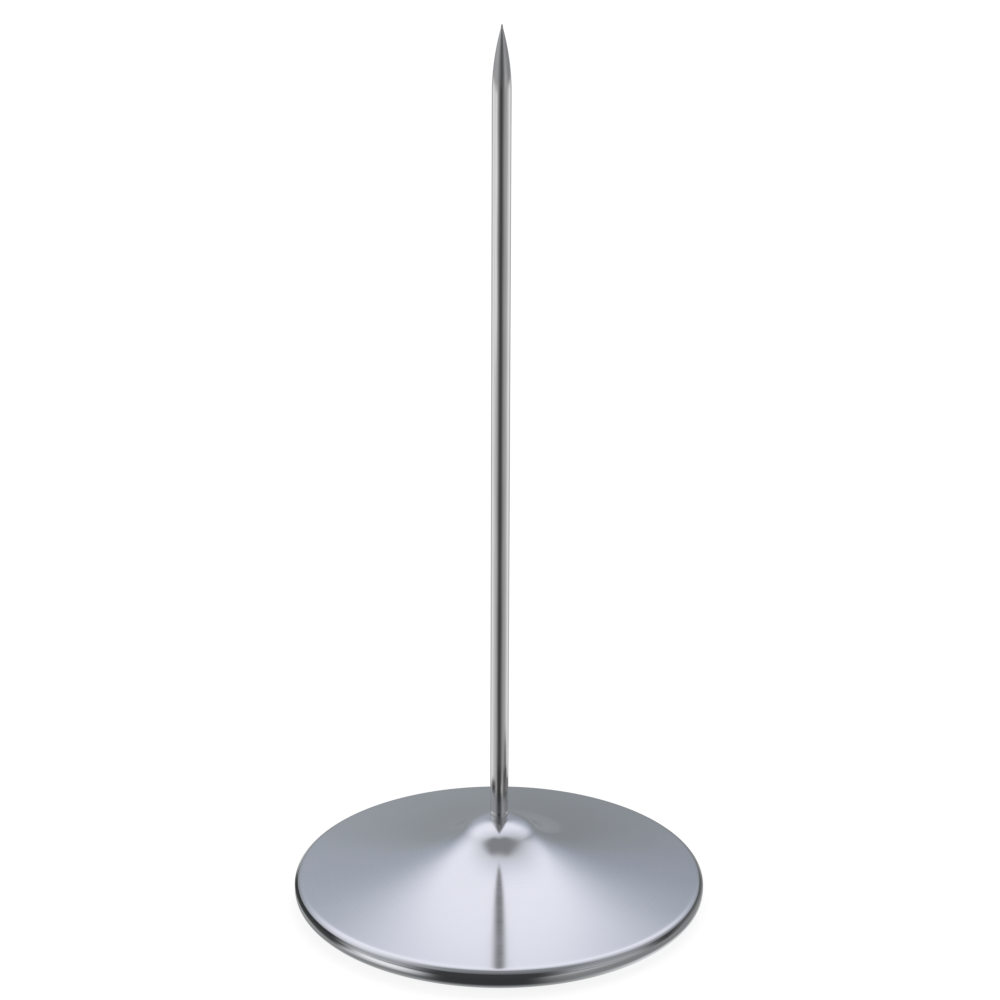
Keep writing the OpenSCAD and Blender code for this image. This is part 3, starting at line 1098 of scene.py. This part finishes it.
def disc_mesh(name, radius, height, columns=96):
    """A flat disc that faces up."""
    angle = column_angles(columns)
    rim = np.column_stack([radius * np.cos(angle), radius * np.sin(angle),
                           np.full(columns, height)])
    return mesh_of(name, rim, [list(range(columns))])


def dome_mesh(name, radius, rows=48, columns=96):
    """A whole sphere round the origin."""
    fall = np.linspace(0, np.pi, rows + 1)
    return revolved(name, radius * np.column_stack([np.sin(fall), np.cos(fall)]), columns)


def strip_mesh(name, radius, height, start, end, columns=24):
    """An upright strip round the axis, from one azimuth to another."""
    azimuth = np.radians(np.linspace(start, end, columns + 1))
    x, y = radius * np.sin(azimuth), -radius * np.cos(azimuth)
    low = np.column_stack([x, y, np.zeros_like(x)])
    points = np.concatenate([low, low + [0, 0, height]])
    at = np.arange(columns)
    quads = np.stack([at, at + 1, at + columns + 2, at + columns + 1], -1)
    return mesh_of(name, points, quads.tolist())


def soft_sun(name, azimuth, elevation, strength, spread):
    """A far, wide lamp that lights floor and object evenly and that metal doesn't mirror."""
    light = bpy.data.lights.new(name, "SUN")
    light.energy = strength
    light.angle = math.radians(spread)
    lamp = bpy.data.objects.new(name, light)
    bpy.context.scene.collection.objects.link(lamp)
    lamp.rotation_euler = (math.radians(90 - elevation), 0, math.radians(azimuth))
    lamp.visible_glossy = lamp.visible_camera = False


# Lamps: name, azimuth and elevation in degrees, the property with their strength, and how wide
# they look in degrees
SUNS = (
    ("key_sun", 165, 55, "key", 50),
    ("fill_sun", -60, 40, "fill", 60),
)
SENSOR_MM = 36
CLIP_START, CLIP_END = 0.01, 50
FLOOR_R = 8
# The floor and the mat lie just below the pad, the mat on top
FLOOR_Z = -0.1 * MM
MAT_Z = -0.05 * MM


class SPIKE_OT_make_stage(Operator):
    """Makes the camera, the floor, the lamps, and the glowing tent, mat and strips that paint the
    metal's reflections
    """
    bl_idname = "receipt_spike.make_stage"
    bl_label = "Make Stage"

    def execute(self, context):
        look = context.scene.spike_stage
        context.scene.view_settings.view_transform = "Standard"
        camera = bpy.data.cameras.new("camera")
        camera.lens = look.lens_mm
        camera.sensor_width = SENSOR_MM
        camera.shift_x = look.shift
        camera.clip_start, camera.clip_end = CLIP_START, CLIP_END
        eye = bpy.data.objects.new("camera", camera)
        context.scene.collection.objects.link(eye)
        eye.matrix_world = (
            Matrix.Translation((0, -look.camera_back, look.camera_up))
            @ Matrix.Rotation(math.pi / 2 - look.camera_pitch, 4, "X")
            @ Matrix.Rotation(look.camera_roll, 4, "Z"))
        context.scene.camera = eye
        white_world(context)
        stage_object("floor", disc_mesh("floor", FLOOR_R, FLOOR_Z), white_paper(context))
        # The mat, the tent and the strips are mirrored only: their glow paints the metal's
        # reflections and casts no light
        stage_object("mat", disc_mesh("mat", look.tent_r, MAT_Z), painted_reflection_mat(context), True)
        stage_object("tent", dome_mesh("tent", look.tent_r), painted_reflection_tent(context), True)
        for name, away, height, start, end, *levels in STRIPS:
            strip = strip_mesh(name, away * MM, height * MM, start, end)
            stage_object(name, strip, painted_reflection_strip(name, height, start, end, *levels), True)
        for name, azimuth, elevation, strength, spread in SUNS:
            soft_sun(name, azimuth, elevation, getattr(look, strength), spread)
        return {"FINISHED"}


class SPIKE_PT_panel(Panel):
    """Sizes, finishes and steps of the receipt spike"""
    bl_idname = "SPIKE_PT_panel"
    bl_label = "Receipt Spike"
    bl_space_type = "VIEW_3D"
    bl_region_type = "UI"
    bl_category = "Receipt Spike"

    def draw(self, context):
        for name, group in GROUPS.items():
            box = self.layout.box()
            box.label(text=group.__doc__.rstrip("."))
            for key in group.__annotations__:
                box.prop(getattr(context.scene, name), key)
        for operator in STEPS:
            self.layout.operator(operator.bl_idname)


STEPS = (SPIKE_OT_make_stage, SPIKE_OT_make_cover, SPIKE_OT_make_spike, SPIKE_OT_make_weight,
         SPIKE_OT_make_fastening, SPIKE_OT_make_underside)


def register():
    for group in GROUPS.values():
        bpy.utils.register_class(group)
    for operator in STEPS:
        bpy.utils.register_class(operator)
    bpy.utils.register_class(SPIKE_PT_panel)
    for name, group in GROUPS.items():
        setattr(bpy.types.Scene, name, PointerProperty(type=group))


def unregister():
    for name in GROUPS:
        delattr(bpy.types.Scene, name)
    bpy.utils.unregister_class(SPIKE_PT_panel)
    for operator in reversed(STEPS):
        bpy.utils.unregister_class(operator)
    for group in reversed(GROUPS.values()):
        bpy.utils.unregister_class(group)


def main():
    register()
    bpy.ops.receipt_spike.make_stage()
    bpy.ops.receipt_spike.make_cover()
    bpy.ops.receipt_spike.make_spike()
    bpy.ops.receipt_spike.make_weight()
    bpy.ops.receipt_spike.make_fastening()
    bpy.ops.receipt_spike.make_underside()


if __name__ == "__main__":
    main()
